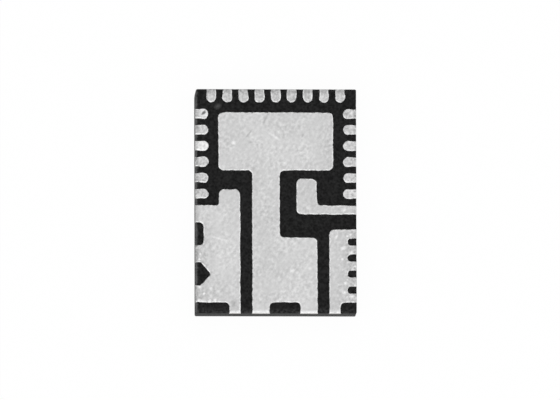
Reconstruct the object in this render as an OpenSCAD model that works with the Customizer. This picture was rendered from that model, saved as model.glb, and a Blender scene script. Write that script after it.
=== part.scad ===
// Power converter in a saw-cut quad flat no-lead package, lying on its marking face, terminals up.
// The origin is the centre of the marking face. X runs along the short side, Y along the long side,
// and Z points out of the terminals. All sizes are in millimetres.

/* [Package] */
// Width of the package along X
body_w = 5.0; // [4.7:0.05:5.6]
// Length of the package along Y
body_l = 7.0; // [6.7:0.05:7.6]
// Height from the marking face to the terminal plane
package_h = 0.9; // [0.8:0.01:1.1]
// How far the terminals stand proud of the moulding
standoff = 0.02; // [0.005:0.005:0.05]

/* [Leads] */
// Leads along the top edge
top_leads = 9; // [5:1:9]
// Leads along each side edge
side_leads = 6; // [4:1:6]
// Distance between the axes of neighbouring leads
lead_pitch = 0.5; // [0.45:0.01:0.52]
// Width of a lead
lead_w = 0.3; // [0.22:0.01:0.34]
// Length of a lead from the sawn edge inward
lead_len = 0.42; // [0.34:0.01:0.5]
// Radius of a lead's two inner corners
lead_end_r = 0.14; // [0.04:0.01:0.16]
// Distance of the first side lead's axis from the top edge
first_side_lead = 0.775; // [0.7:0.005:0.85]

/* [Lead frame] */
// Thickness of the copper lead frame
frame_t = 0.2; // [0.15:0.01:0.25]
// Depth of the half etch that leaves lips under the moulding
etch_depth = 0.1; // [0.06:0.01:0.13]
// Width of the hidden lip round each pad
pad_lip = 0.08; // [0.03:0.01:0.1]
// Distance that the lips stay inside the sawn edges
edge_setback = 0.1; // [0.05:0.01:0.15]
// Radius of a pad's outer corners
pad_r = 0.17; // [0.05:0.01:0.2]
// Radius of a pad's inner corners
pad_fillet_r = 0.13; // [0.05:0.01:0.15]
// Gap between neighbouring power pads
pad_gap = 0.35; // [0.28:0.01:0.4]
// Depth of the notches along the bottom edge
edge_notch = 0.325; // [0.25:0.005:0.4]
// Width of the tab that an outer pad sends to the bottom edge
corner_tab_w = 0.36; // [0.3:0.01:0.45]

/* [Ground pad] */
// Length of the wide bar along Y
bar_l = 1.83; // [1.7:0.01:1.95]
// Gap between the bar and the top leads
bar_gap_top = 0.3; // [0.24:0.01:0.36]
// Gap between the bar and the side leads
bar_gap_side = 0.29; // [0.24:0.01:0.36]
// Distance of the stem's left side from the centre line
stem_left = 0.745; // [0.65:0.005:0.8]
// Width of the stem
stem_w = 0.875; // [0.75:0.005:0.95]
// Width of the foot at the bottom edge
foot_w = 2.04; // [1.9:0.01:2.2]
// Gap between the foot and the bias pad's strip
foot_gap = 0.705; // [0.55:0.005:0.8]
// Width of the notch between the foot's two tabs
foot_notch_w = 0.94; // [0.7:0.01:1.1]

/* [Input pad] */
// Gap between the pad's ear and the left leads
ear_gap_lead = 0.305; // [0.25:0.005:0.36]
// Gap between the pad's ear and the ground bar
ear_gap_bar = 0.575; // [0.5:0.005:0.65]
// Length of each notch along the left edge
side_notch_l = 0.7; // [0.5:0.01:0.75]
// Depth of the square notch
square_notch_d = 0.245; // [0.15:0.005:0.3]
// Depth of the pointed notch at its shoulders
arrow_shoulder_d = 0.165; // [0.1:0.005:0.2]
// Depth of the pointed notch at its tip
arrow_tip_d = 0.465; // [0.35:0.005:0.55]
// Radius of the pointed notch's corners and of the other tight corners
notch_r = 0.08; // [0.03:0.01:0.09]

/* [Switch pad] */
// Gap between the switch pad and the bias pad's strip
switch_gap = 0.45; // [0.35:0.01:0.5]
// Depth of the notches between the switch pad's tabs
tab_notch_d = 0.265; // [0.2:0.005:0.3]

/* [Bias pad] */
// Width of the bias pad's leg
leg_w = 0.65; // [0.5:0.01:0.75]
// Gap between the leg and the ground stem
leg_gap_stem = 0.5; // [0.4:0.01:0.6]
// Gap between the leg and the ground bar
leg_gap_bar = 0.245; // [0.2:0.005:0.3]

/* [Dies] */
// Width of the controller die
controller_die_w = 2.6; // [2.2:0.05:2.9]
// Length of the controller die
controller_die_l = 1.25; // [1.1:0.05:1.4]
// Thickness of the controller die
controller_die_t = 0.2; // [0.15:0.01:0.22]
// Width of the high-side power die
high_side_die_w = 0.95; // [0.8:0.05:1]
// Length of the high-side power die
high_side_die_l = 1.9; // [1.7:0.05:2.2]
// Width of the low-side power die
low_side_die_w = 1.6; // [1.4:0.05:1.8]
// Length of the low-side power die
low_side_die_l = 1.75; // [1.6:0.05:1.85]
// Thickness of the two power dies
power_die_t = 0.1; // [0.08:0.01:0.15]
// Thickness of the layer that bonds a die to its pad
attach_t = 0.02; // [0.015:0.005:0.04]
// How far that layer spreads past the die
attach_margin = 0.03; // [0.01:0.01:0.05]

/* [Clip] */
// Thickness of the copper clip
clip_t = 0.15; // [0.1:0.01:0.2]
// Length of the clip along Y
clip_l = 1.25; // [1:0.05:1.3]
// How far the clip's contact stays inside a die's edges
clip_inset = 0.1; // [0.06:0.01:0.14]
// Length of the clip's foot along X
clip_foot_l = 0.45; // [0.35:0.01:0.5]
// Distance of the foot's end from the sawn edge
clip_edge = 0.25; // [0.2:0.01:0.3]
// Run of the bend between the clip's plate and its foot
clip_bend = 0.15; // [0.1:0.01:0.2]
// Thickness of the solder under the clip
clip_solder_t = 0.025; // [0.02:0.005:0.04]
// How far that solder stays inside the clip's edges
clip_solder_margin = 0.03; // [0.01:0.01:0.06]

/* [Bond wires] */
// Diameter of a bond wire
wire_d = 0.03; // [0.02:0.005:0.04]
// Diameter of the ball at a wire's first end
ball_d = 0.07; // [0.05:0.005:0.08]
// Height of that ball
ball_h = 0.018; // [0.012:0.002:0.024]
// Height of the loop over the controller die
loop_h = 0.12; // [0.08:0.01:0.15]
// Distance of the bonds from the edges of the controller die
bond_inset = 0.08; // [0.06:0.01:0.1]
// Distance of a wire's second end from the inner end of what it lands on
stitch_inset = 0.13; // [0.1:0.01:0.16]

/* [Hidden] */

mould_color = "#262626";
tin_color = "#d1d1cf";
silicon_color = "#59616b";
attach_color = "#8d9093";
copper_color = "#b87347";
wire_color = "#d8b25a";

// Flat pieces in a quarter turn of a rounded corner
arc_steps = 6;
// Sides of a bond wire
wire_sides = 6;
// Spans along a bond wire's loop
loop_spans = 6;
// Slack for counting tabs that fit exactly
count_slack = 0.001;
// Largest share of a width that one corner radius takes
round_share = 0.48;
// Heights of the loop's two control points, in loop heights
loop_near = 1.5;
loop_far = 1.2;
// Place of the second control point along the wire
loop_far_at = 0.6;
// Size of a stitch along and across the wire, in wire radii
stitch_long = 2;
stitch_wide = 1.5;

// Heights, from the marking face up
mould_h = package_h - standoff;
frame_z = package_h - frame_t;
lip_h = frame_t - etch_depth;
die_back_z = frame_z - attach_t;
controller_face_z = die_back_z - controller_die_t;
power_face_z = die_back_z - power_die_t;
clip_plate_z = power_face_z - clip_solder_t;
clip_foot_z = frame_z - clip_solder_t;

// Lead positions
function top_x(i) = (i - (top_leads - 1) / 2) * lead_pitch;
function side_y(i) = body_l / 2 - first_side_lead - i * lead_pitch;
lead_gap = lead_pitch - lead_w;
lead_lip = lead_gap / 4;

// Edges that the pads share
left_x = -body_w / 2;
right_x = body_w / 2;
bottom_y = -body_l / 2;
notch_y = bottom_y + edge_notch;
strip_top = side_y(side_leads) + lead_w / 2;
strip_bottom = strip_top - lead_w;

// Ground pad
bar_half = body_w / 2 - lead_len - bar_gap_side;
bar_top = body_l / 2 - lead_len - bar_gap_top;
bar_bottom = bar_top - bar_l;
stem_x0 = -stem_left;
stem_x1 = stem_x0 + stem_w;
foot_x1 = stem_x0 + foot_w;
foot_top = strip_bottom - foot_gap;
foot_tab_w = (foot_w - foot_notch_w) / 2;

// Input pad
input_x1 = stem_x0 - pad_gap;
ear_x0 = left_x + lead_len + ear_gap_lead;
ear_top = bar_bottom - ear_gap_bar;
side_tab_l = (strip_top - notch_y - 2 * side_notch_l) / 3;
square_notch_top = strip_top - side_tab_l;
arrow_bottom = notch_y + side_tab_l;
arrow_mid = arrow_bottom + side_notch_l / 2;

// Switch pad
switch_x0 = foot_x1 + pad_gap;
switch_top = strip_bottom - switch_gap;
switch_notches = floor((switch_top - notch_y - lead_w) / lead_pitch + count_slack);
function switch_notch_y(i) = switch_top - lead_w / 2 - (i + 0.5) * lead_pitch;

// Bias pad
leg_x0 = stem_x1 + leg_gap_stem;
leg_x1 = leg_x0 + leg_w;
leg_top = bar_bottom - leg_gap_bar;

// Centres of the dies, on the pads that carry them
controller_at = [0, (bar_top + bar_bottom) / 2];
high_side_at = [(left_x + input_x1) / 2, (strip_top + notch_y) / 2];
low_side_at = [(stem_x0 + foot_x1) / 2, (foot_top + notch_y) / 2];

// Clip, from the far side of the high-side die to the switch pad
clip_x0 = high_side_at[0] - high_side_die_w / 2 + clip_inset;
clip_x1 = right_x - clip_edge;
clip_y0 = low_side_at[1] - low_side_die_l / 2 + clip_inset;
clip_y1 = clip_y0 + clip_l;

// Bond pads of the controller die
bond_top_y = controller_at[1] + controller_die_l / 2 - bond_inset;
bond_bottom_y = controller_at[1] - controller_die_l / 2 + bond_inset;
bond_side_x = controller_die_w / 2 - bond_inset;
bond_span_x = controller_die_w - 4 * bond_inset;
bond_span_y = controller_die_l - 4 * bond_inset;
function bond_x(i) = (i / (top_leads - 1) - 0.5) * bond_span_x;
function bond_y(i) = controller_at[1] + (0.5 - i / (side_leads - 1)) * bond_span_y;

// Bond points of the three wires that leave the controller die towards the power pads
gate_high_at = [high_side_at[0], high_side_at[1] + high_side_die_l / 2 - stitch_inset];
gate_low_at = [(stem_x0 + stem_x1) / 2, low_side_at[1] + low_side_die_l / 2 - stitch_inset];
bias_at = [(leg_x0 + leg_x1) / 2, leg_top - stitch_inset];

top_lead_names = [for (i = [1:top_leads]) str("lead_top_", i)];
left_lead_names = [for (i = [1:side_leads]) str("lead_left_", i)];
right_lead_names = [for (i = [1:side_leads]) str("lead_right_", i)];
top_wire_names = [for (i = [1:top_leads]) str("wire_top_", i)];
left_wire_names = [for (i = [1:side_leads]) str("wire_left_", i)];
right_wire_names = [for (i = [1:side_leads]) str("wire_right_", i)];
pad_names = ["ground_pad", "input_pad", "switch_pad", "bias_pad"];
die_names = ["controller_die", "high_side_die", "low_side_die"];
attach_names = ["controller_die_attach", "high_side_die_attach", "low_side_die_attach"];
clip_names = ["clip", "clip_solder_high_side", "clip_solder_low_side", "clip_solder_pad"];
power_wire_names = ["wire_gate_high", "wire_gate_low", "wire_bias"];

function unit(v) = v / norm(v);

// Points of the arc that rounds corner p between its neighbours a and b; each corner is [x, y, radius]
function corner_arc(a, p, b) =
    let (
        at = [p[0], p[1]],
        to_a = unit([a[0], a[1]] - at),
        to_b = unit([b[0], b[1]] - at),
        half = acos(to_a * to_b) / 2,
        centre = at + unit(to_a + to_b) * p[2] / sin(half),
        first = at + to_a * p[2] / tan(half) - centre,
        turn = (180 - 2 * half) * sign(cross(to_b, to_a)),
        start = atan2(first[1], first[0])
    )
    [for (j = [0:arc_steps])
        let (angle = start + turn * j / arc_steps)
        centre + p[2] * [cos(angle), sin(angle)]];

// Outline through the corners, each rounded to its own radius, or sharp where that is 0
function rounded(corners) =
    let (n = len(corners))
    [for (i = [0:n - 1])
        each corners[i][2] == 0
            ? [[corners[i][0], corners[i][1]]]
            : corner_arc(corners[(i + n - 1) % n], corners[i], corners[(i + 1) % n])];

// Corners of a plain rectangle from [x0, y0] to [x1, y1]
function box_corners(x0, y0, x1, y1, r) = [[x0, y0, r], [x1, y0, r], [x1, y1, r], [x0, y1, r]];

// Full-thickness metal that shows on the terminal face
module terminal(corners) {
    translate([0, 0, frame_z])
        linear_extrude(frame_t)
            polygon(rounded(corners));
}

// Half-etched metal that the moulding covers
module lip(corners) {
    translate([0, 0, frame_z])
        linear_extrude(lip_h)
            polygon(rounded(corners));
}

// One lead, with its sawn end at X = 0 and its inner end towards +X
module lead() {
    end_r = min(lead_end_r, lead_w * round_share);
    half = lead_w / 2;
    wide = half + lead_lip;
    color(tin_color) {
        terminal([[0, -half, 0], [lead_len, -half, end_r], [lead_len, half, end_r], [0, half, 0]]);
        lip(box_corners(edge_setback, -wide, lead_len + lead_lip, wide, 0));
    }
}

module at_top(i) {
    translate([top_x(i), body_l / 2, 0])
        rotate(-90)
            children();
}

module at_left(i) {
    translate([left_x, side_y(i), 0])
        children();
}

module at_right(i) {
    translate([right_x, side_y(i), 0])
        rotate(180)
            children();
}

// T-shaped pad under the controller and the low-side die
module ground_pad() {
    notch_x0 = stem_x0 + foot_tab_w;
    notch_x1 = foot_x1 - foot_tab_w;
    g = pad_lip;
    color(tin_color) {
        terminal([
            [stem_x0, bottom_y, 0], [notch_x0, bottom_y, 0],
            [notch_x0, notch_y, pad_fillet_r], [notch_x1, notch_y, pad_fillet_r],
            [notch_x1, bottom_y, 0], [foot_x1, bottom_y, 0],
            [foot_x1, foot_top, pad_r], [stem_x1, foot_top, pad_fillet_r],
            [stem_x1, bar_bottom, pad_fillet_r], [bar_half, bar_bottom, pad_r],
            [bar_half, bar_top, pad_r], [-bar_half, bar_top, pad_r],
            [-bar_half, bar_bottom, pad_r], [stem_x0, bar_bottom, pad_fillet_r]
        ]);
        lip([
            [stem_x0 - g, bottom_y + edge_setback, 0], [foot_x1 + g, bottom_y + edge_setback, 0],
            [foot_x1 + g, foot_top + g, 0], [stem_x1 + g, foot_top + g, 0],
            [stem_x1 + g, bar_bottom - g, 0], [bar_half + g, bar_bottom - g, 0],
            [bar_half + g, bar_top + g, 0], [-bar_half - g, bar_top + g, 0],
            [-bar_half - g, bar_bottom - g, 0], [stem_x0 - g, bar_bottom - g, 0]
        ]);
    }
}

// Pad under the high-side die, with a square and a pointed notch on its sawn edge
module input_pad() {
    tab_x0 = input_x1 - corner_tab_w;
    square_x = left_x + square_notch_d;
    shoulder_x = left_x + arrow_shoulder_d;
    tip_x = left_x + arrow_tip_d;
    g = pad_lip;
    color(tin_color) {
        terminal([
            [tab_x0, bottom_y, 0], [input_x1, bottom_y, 0], [input_x1, ear_top, pad_r],
            [ear_x0, ear_top, pad_r], [ear_x0, strip_top, notch_r], [left_x, strip_top, 0],
            [left_x, square_notch_top, 0], [square_x, square_notch_top, pad_fillet_r],
            [square_x, square_notch_top - side_notch_l, pad_fillet_r],
            [left_x, square_notch_top - side_notch_l, 0],
            [left_x, arrow_bottom + side_notch_l, 0], [shoulder_x, arrow_bottom + side_notch_l, notch_r],
            [tip_x, arrow_mid, notch_r], [shoulder_x, arrow_bottom, notch_r], [left_x, arrow_bottom, 0],
            [left_x, notch_y, 0], [tab_x0, notch_y, pad_fillet_r]
        ]);
        lip([
            [left_x + edge_setback, bottom_y + edge_setback, 0], [input_x1 + g, bottom_y + edge_setback, 0],
            [input_x1 + g, ear_top + g, 0], [ear_x0 - g, ear_top + g, 0],
            [ear_x0 - g, strip_top, 0], [left_x + edge_setback, strip_top, 0]
        ]);
    }
}

// Pad under the clip's foot, with a row of lead-sized tabs along its sawn edge
module switch_pad() {
    tab_x1 = switch_x0 + corner_tab_w;
    notch_x = right_x - tab_notch_d;
    half = lead_gap / 2;
    tip_r = min(notch_r, lead_gap * round_share);
    notches = [for (i = [switch_notches - 1:-1:0]) let (y = switch_notch_y(i)) each [
        [right_x, y - half, 0], [notch_x, y - half, tip_r], [notch_x, y + half, tip_r], [right_x, y + half, 0]
    ]];
    color(tin_color) {
        terminal(concat(
            [[switch_x0, bottom_y, 0], [tab_x1, bottom_y, 0]],
            [[tab_x1, notch_y, pad_fillet_r], [right_x, notch_y, 0]],
            notches,
            [[right_x, switch_top, 0], [switch_x0, switch_top, pad_r]]
        ));
        lip(box_corners(
            switch_x0 - pad_lip, bottom_y + edge_setback, right_x - edge_setback, switch_top + pad_lip, 0
        ));
    }
}

// L-shaped pad that brings the bias supply in from the right edge
module bias_pad() {
    g = pad_lip;
    color(tin_color) {
        terminal([
            [leg_x0, strip_bottom, pad_r], [right_x, strip_bottom, 0], [right_x, strip_top, 0],
            [leg_x1, strip_top, pad_fillet_r], [leg_x1, leg_top, pad_r], [leg_x0, leg_top, pad_r]
        ]);
        lip([
            [leg_x0 - g, strip_bottom - lead_lip, 0], [right_x - edge_setback, strip_bottom - lead_lip, 0],
            [right_x - edge_setback, strip_top + lead_lip, 0], [leg_x1 + g, strip_top + lead_lip, 0],
            [leg_x1 + g, leg_top + g, 0], [leg_x0 - g, leg_top + g, 0]
        ]);
    }
}

// Slab of the given plan size round a centre, from z up by t
module slab(at, size, z, t) {
    translate([at[0] - size[0] / 2, at[1] - size[1] / 2, z])
        cube([size[0], size[1], t]);
}

controller_size = [controller_die_w, controller_die_l];
high_side_size = [high_side_die_w, high_side_die_l];
low_side_size = [low_side_die_w, low_side_die_l];

module controller_die() {
    color(silicon_color)
        slab(controller_at, controller_size, controller_face_z, controller_die_t);
}

module high_side_die() {
    color(silicon_color)
        slab(high_side_at, high_side_size, power_face_z, power_die_t);
}

module low_side_die() {
    color(silicon_color)
        slab(low_side_at, low_side_size, power_face_z, power_die_t);
}

// Layer that bonds a die of this size to its pad
module die_attach(at, size) {
    color(attach_color)
        slab(at, size + 2 * attach_margin * [1, 1], die_back_z, attach_t);
}

// Bent copper plate from the two power dies to the switch pad
module clip() {
    foot_x0 = clip_x1 - clip_foot_l;
    bend_x0 = foot_x0 - clip_bend;
    profile = [
        [clip_x0, clip_plate_z - clip_t], [bend_x0, clip_plate_z - clip_t],
        [foot_x0, clip_foot_z - clip_t], [clip_x1, clip_foot_z - clip_t],
        [clip_x1, clip_foot_z], [foot_x0, clip_foot_z],
        [bend_x0, clip_plate_z], [clip_x0, clip_plate_z]
    ];
    color(copper_color)
        translate([0, clip_y1, 0])
            rotate([90, 0, 0])
                linear_extrude(clip_y1 - clip_y0)
                    polygon(profile);
}

// Solder between the clip and a power die, where the clip lies over it
module clip_solder_die(at, size) {
    m = clip_solder_margin;
    x0 = max(clip_x0 + m, at[0] - size[0] / 2 + clip_inset);
    x1 = at[0] + size[0] / 2 - clip_inset;
    y0 = max(clip_y0 + m, at[1] - size[1] / 2 + clip_inset);
    y1 = min(clip_y1 - m, at[1] + size[1] / 2 - clip_inset);
    color(attach_color)
        translate([x0, y0, clip_plate_z])
            cube([x1 - x0, y1 - y0, clip_solder_t]);
}

// Solder between the clip's foot and the switch pad
module clip_solder_pad() {
    m = clip_solder_margin;
    color(attach_color)
        translate([clip_x1 - clip_foot_l + m, clip_y0 + m, clip_foot_z])
            cube([clip_foot_l - 2 * m, clip_y1 - clip_y0 - 2 * m, clip_solder_t]);
}

// Point at share t of a cubic curve through four control points
function curve_point(c, t) =
    c[0] * pow(1 - t, 3) + c[1] * 3 * t * pow(1 - t, 2) + c[2] * 3 * t * t * (1 - t) + c[3] * pow(t, 3);

function curve_heading(c, t) =
    unit((c[1] - c[0]) * pow(1 - t, 2) + (c[2] - c[1]) * 2 * t * (1 - t) + (c[3] - c[2]) * t * t);

// Rings of a bond wire, each [distance, height, heading, radius along the wire's plane, radius across it]:
// the ball on the controller die, the loop, and the flattened stitch on what it lands on
function wire_rings(reach, end_z) =
    let (
        r = wire_d / 2,
        ball_z = controller_face_z - ball_h,
        down = [0, -1],
        loop = [
            [0, ball_z], [0, controller_face_z - loop_h * loop_near],
            [reach * loop_far_at, controller_face_z - loop_h * loop_far], [reach, end_z]
        ]
    )
    concat(
        [[0, controller_face_z, down, ball_d / 2, ball_d / 2], [0, ball_z, down, ball_d / 2, ball_d / 2]],
        [for (j = [0:loop_spans - 1])
            let (t = j / loop_spans, p = curve_point(loop, t))
            [p[0], p[1], curve_heading(loop, t), r, r]],
        [[reach, end_z, [0, 1], r * stitch_long, r * stitch_wide]]
    );

// Bond wire from a point on the controller die to a point on a lead, pad or power die
module bond_wire(from, to, end_z) {
    along = unit(to - from);
    across = [-along[1], along[0]];
    rings = wire_rings(norm(to - from), end_z);
    n = wire_sides;
    last = len(rings) - 1;
    points = [for (ring = rings) for (k = [0:n - 1])
        let (
            in_plane = ring[3] * cos(360 * k / n),
            flat = from + along * (ring[0] - in_plane * ring[2][1]) + across * ring[4] * sin(360 * k / n)
        )
        [flat[0], flat[1], ring[1] + in_plane * ring[2][0]]];
    walls = [for (j = [0:last - 1]) for (k = [0:n - 1])
        let (a = j * n + k, b = j * n + (k + 1) % n)
        each [[a, b, b + n], [a, b + n, a + n]]];
    first_cap = [for (k = [n - 1:-1:0]) k];
    last_cap = [for (k = [0:n - 1]) last * n + k];
    color(wire_color)
        polyhedron(points, concat([first_cap, last_cap], walls));
}

module wire_top(i) {
    bond_wire([bond_x(i), bond_top_y], [top_x(i), body_l / 2 - lead_len + stitch_inset], frame_z);
}

module wire_left(i) {
    bond_wire([-bond_side_x, bond_y(i)], [left_x + lead_len - stitch_inset, side_y(i)], frame_z);
}

module wire_right(i) {
    bond_wire([bond_side_x, bond_y(i)], [right_x - lead_len + stitch_inset, side_y(i)], frame_z);
}

module wire_gate_high() {
    bond_wire([-bond_span_x / 2, bond_bottom_y], gate_high_at, power_face_z);
}

module wire_gate_low() {
    bond_wire([gate_low_at[0], bond_bottom_y], gate_low_at, power_face_z);
}

module wire_bias() {
    bond_wire([bias_at[0], bond_bottom_y], bias_at, frame_z);
}

// Moulding compound round everything, ground flush with the sawn lead ends
module mould_body() {
    color(mould_color)
        difference() {
            translate([left_x, bottom_y, 0])
                cube([body_w, body_l, mould_h]);
            for (i = [0:top_leads - 1]) at_top(i) lead();
            for (i = [0:side_leads - 1]) at_left(i) lead();
            for (i = [0:side_leads - 1]) at_right(i) lead();
            ground_pad();
            input_pad();
            switch_pad();
            bias_pad();
            controller_die();
            high_side_die();
            low_side_die();
            die_attach(controller_at, controller_size);
            die_attach(high_side_at, high_side_size);
            die_attach(low_side_at, low_side_size);
            clip();
            clip_solder_die(high_side_at, high_side_size);
            clip_solder_die(low_side_at, low_side_size);
            clip_solder_pad();
            for (i = [0:top_leads - 1]) wire_top(i);
            for (i = [0:side_leads - 1]) wire_left(i);
            for (i = [0:side_leads - 1]) wire_right(i);
            wire_gate_high();
            wire_gate_low();
            wire_bias();
        }
}

mould_body();
ground_pad();
input_pad();
switch_pad();
bias_pad();
for (i = [0:top_leads - 1]) at_top(i) lead();
for (i = [0:side_leads - 1]) at_left(i) lead();
for (i = [0:side_leads - 1]) at_right(i) lead();
controller_die();
high_side_die();
low_side_die();
die_attach(controller_at, controller_size);  // controller_die_attach
die_attach(high_side_at, high_side_size);  // high_side_die_attach
die_attach(low_side_at, low_side_size);  // low_side_die_attach
clip();
clip_solder_die(high_side_at, high_side_size);  // clip_solder_high_side
clip_solder_die(low_side_at, low_side_size);  // clip_solder_low_side
clip_solder_pad();
for (i = [0:top_leads - 1]) wire_top(i);
for (i = [0:side_leads - 1]) wire_left(i);
for (i = [0:side_leads - 1]) wire_right(i);
wire_gate_high();
wire_gate_low();
wire_bias();
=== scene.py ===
"""Looks of a small power chip in a flat package without legs, lying with its terminals up.

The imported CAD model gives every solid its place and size. Here the terminals get the rounded, slightly
wavy edges of an etched and plated lead frame, the moulding gets its sawn walls, and every piece gets
the surface that its material and its making give it. Sizes are in millimetres where no comment says
otherwise.
"""

import math

import bmesh
import bpy
from mathutils import Matrix, Vector, noise


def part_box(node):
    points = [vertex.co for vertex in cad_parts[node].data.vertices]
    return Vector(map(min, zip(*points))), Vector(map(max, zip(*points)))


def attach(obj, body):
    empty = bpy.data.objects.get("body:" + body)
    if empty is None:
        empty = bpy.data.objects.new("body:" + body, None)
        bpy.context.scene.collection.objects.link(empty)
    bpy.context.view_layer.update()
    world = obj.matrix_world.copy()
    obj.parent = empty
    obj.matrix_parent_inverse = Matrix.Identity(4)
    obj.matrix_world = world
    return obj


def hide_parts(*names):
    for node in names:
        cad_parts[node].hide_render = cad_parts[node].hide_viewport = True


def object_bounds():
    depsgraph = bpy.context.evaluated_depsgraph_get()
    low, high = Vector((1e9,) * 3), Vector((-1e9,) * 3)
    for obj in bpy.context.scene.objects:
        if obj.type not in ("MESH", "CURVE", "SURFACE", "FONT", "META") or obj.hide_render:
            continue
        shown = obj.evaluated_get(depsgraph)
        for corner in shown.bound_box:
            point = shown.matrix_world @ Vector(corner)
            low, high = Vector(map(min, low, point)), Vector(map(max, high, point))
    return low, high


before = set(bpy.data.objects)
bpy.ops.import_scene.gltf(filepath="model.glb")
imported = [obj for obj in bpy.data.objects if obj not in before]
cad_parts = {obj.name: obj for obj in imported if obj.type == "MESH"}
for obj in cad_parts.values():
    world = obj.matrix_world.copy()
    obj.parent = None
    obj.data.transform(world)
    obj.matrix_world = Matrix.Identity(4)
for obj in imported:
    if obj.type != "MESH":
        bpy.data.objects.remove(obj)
cad_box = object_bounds()

MM = 0.001

# The photograph, and the camera: a long lens that leans a little, so that the lower and the left wall just
# show
IMAGE_WIDTH = 560
IMAGE_HEIGHT = 400
PIXELS_PER_MM = 32.26
CHIP_CENTRE_PX = (275.9, 201.0)
LENS_MM = 1000.0
SENSOR_MM = 36.0
LEAN_LEFT = 0.04
LEAN_DOWN = 0.127
ROLL_DEGREES = -0.15
CLIP_NEAR_M = 0.005
CLIP_FAR_M = 5.0

# The table, and the share of white that the camera sees on it instead of lit card
FLOOR_HALF_M = 0.6
FLOOR_GAP = 0.002
CARD_WHITE = 0.965

# Each softbox: azimuth and elevation in degrees, and about the brightness it gives a white card
SOFTBOX_DISTANCE_M = 0.6
SOFTBOX_SIZE_M = 0.8
SOFTBOXES = {
    "key_softbox": (-40, 38, 0.22),
    "fill_softbox": (70, 36, 0.14),
    "back_softbox": (170, 36, 0.10),
}

# Brightness of the light tent by the sine of the height above the horizon
TENT_LEVELS = [(0.0, 0.50), (0.5, 0.60), (0.9, 0.88)]

# The package, from the frame
package_low, package_high = cad_box
terminal_z = package_high.z
mould_low, mould_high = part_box("mould_body")

# Limits: points that are one, points on a plane, faces that are one, and the height of the normal of an
# upright face, of a level face and of the moulding's walls
WELD = 0.0001 * MM
ON_PLANE = 0.001 * MM
FLAT_ANGLE = math.radians(0.5)
UPRIGHT_BELOW = 0.001
LEVEL_ABOVE = 0.9999
WALL_BELOW = 0.7

# Roundings, and the steps into which outlines are cut so that they can be uneven
TERMINAL_ROUND = 0.045
CORNER_ROUND = 0.045
RIM_ROUND = 0.030
ROUND_STEPS = 5
OUTLINE_STEP = 0.06
LEAD_STEP = 0.05

# The waves that etching leaves in the outlines, which fade out towards the saw cut
EDGE_WAVE = 0.020
EDGE_WAVE_LENGTH = 0.14
EDGE_WAVE_SEED = 3
LEAD_WAVE = 0.07
LEAD_WAVE_LENGTH = 0.24
WAVE_FADE = 0.06

# Chips in the moulding's upper rim, and its worn upper left corner
CHIP_LENGTH = 0.11
CHIP_DEPTH = 0.010
CORNER_WEAR = 0.035
CORNER_WEAR_LENGTH = 0.22
CORNER_WEAR_STEPS = 3

# Leads: etching leaves them swollen towards the tip, with a taper and a bow at its end. The belly and the
# taper are shares of the width. Their tin is darker and less even than that of the pads
LEAD_BELLY = 0.08
BELLY_PEAK = 1.5
TIP_TAPER = 0.06
TIP_BOW = 0.05
LEAD_PITTING = 0.15

# Each row of leads: its turn in degrees, which lead is brighter than its neighbours, its darkest and
# lightest tone, and the strength of the highlight painted on the rounded rim
NO_LEAD = -1
THIRD_LEAD = 2
# How much brighter that one lead is than its neighbours
BRIGHT_TONE = 0.29
LEAD_ROWS = {
    "top": dict(turn=-90, count=9, seed=3, bright=NO_LEAD, darkest=-0.12, lightest=-0.06, burnish=0.60),
    "left": dict(turn=0, count=6, seed=5, bright=THIRD_LEAD, darkest=-0.07, lightest=-0.02, burnish=0.92),
    "right": dict(turn=180, count=6, seed=8, bright=NO_LEAD, darkest=-0.08, lightest=-0.02, burnish=0.64),
}

# The pads: each one's tone, and the strength of the highlight painted on the rounded rim
PAD_TONES = {"ground_pad": 0.0, "input_pad": 0.01, "switch_pad": -0.02, "bias_pad": -0.02}
PAD_PAINTED_RIM_HIGHLIGHT = 0.62

# The part of a noise's values that a pattern is drawn from: a narrower part gives more contrast, and the
# highest values alone give a few spots
NOISE_LOW = 0.3
NOISE_HIGH = 0.7
WIDE = {"From Min": NOISE_LOW, "From Max": NOISE_HIGH}
NARROW = {"From Min": 0.35, "From Max": 0.65}
STEEP = {"From Min": 0.4, "From Max": 0.6}
HIGHEST = {"From Min": 0.55, "From Max": 0.75}


def linear(hex_colour):
    """A colour written as sRGB hex, as the linear RGBA that the shaders take."""
    channels = [int(hex_colour[i:i + 2], 16) / 255 for i in (0, 2, 4)]
    return [c / 12.92 if c <= 0.04045 else ((c + 0.055) / 1.055) ** 2.4 for c in channels] + [1.0]


def per_mm(size):
    """The scale of a pattern on Object coordinates, in metres, whose features are that many mm apart."""
    return 1 / (size * MM)


def add(tree, kind, inputs=None, **settings):
    """Adds a node with its settings. An input is given a value, or the socket that feeds it."""
    made = tree.nodes.new(kind)
    for name, value in settings.items():
        setattr(made, name, value)
    for key, value in (inputs or {}).items():
        if isinstance(value, bpy.types.NodeSocket):
            tree.links.new(value, made.inputs[key])
        else:
            made.inputs[key].default_value = value
    return made


def new_material(name):
    """An empty node material."""
    made = bpy.data.materials.new(name)
    made.use_nodes = True
    made.node_tree.nodes.clear()
    return made


def wander(tree, place, size, reach):
    """A place that drifts by up to half the reach in mm, so that what is read there gets ragged edges."""
    drift = add(tree, "ShaderNodeTexNoise", {"Vector": place, "Scale": per_mm(size), "Detail": 2.0})
    centred = add(tree, "ShaderNodeVectorMath", {
        0: drift.outputs["Color"], 1: (0.5, 0.5, 0.5),
    }, operation="SUBTRACT")
    return add(tree, "ShaderNodeVectorMath", {
        0: centred.outputs["Vector"], 1: (reach * MM,) * 3, 2: place,
    }, operation="MULTIPLY_ADD").outputs["Vector"]


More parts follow.
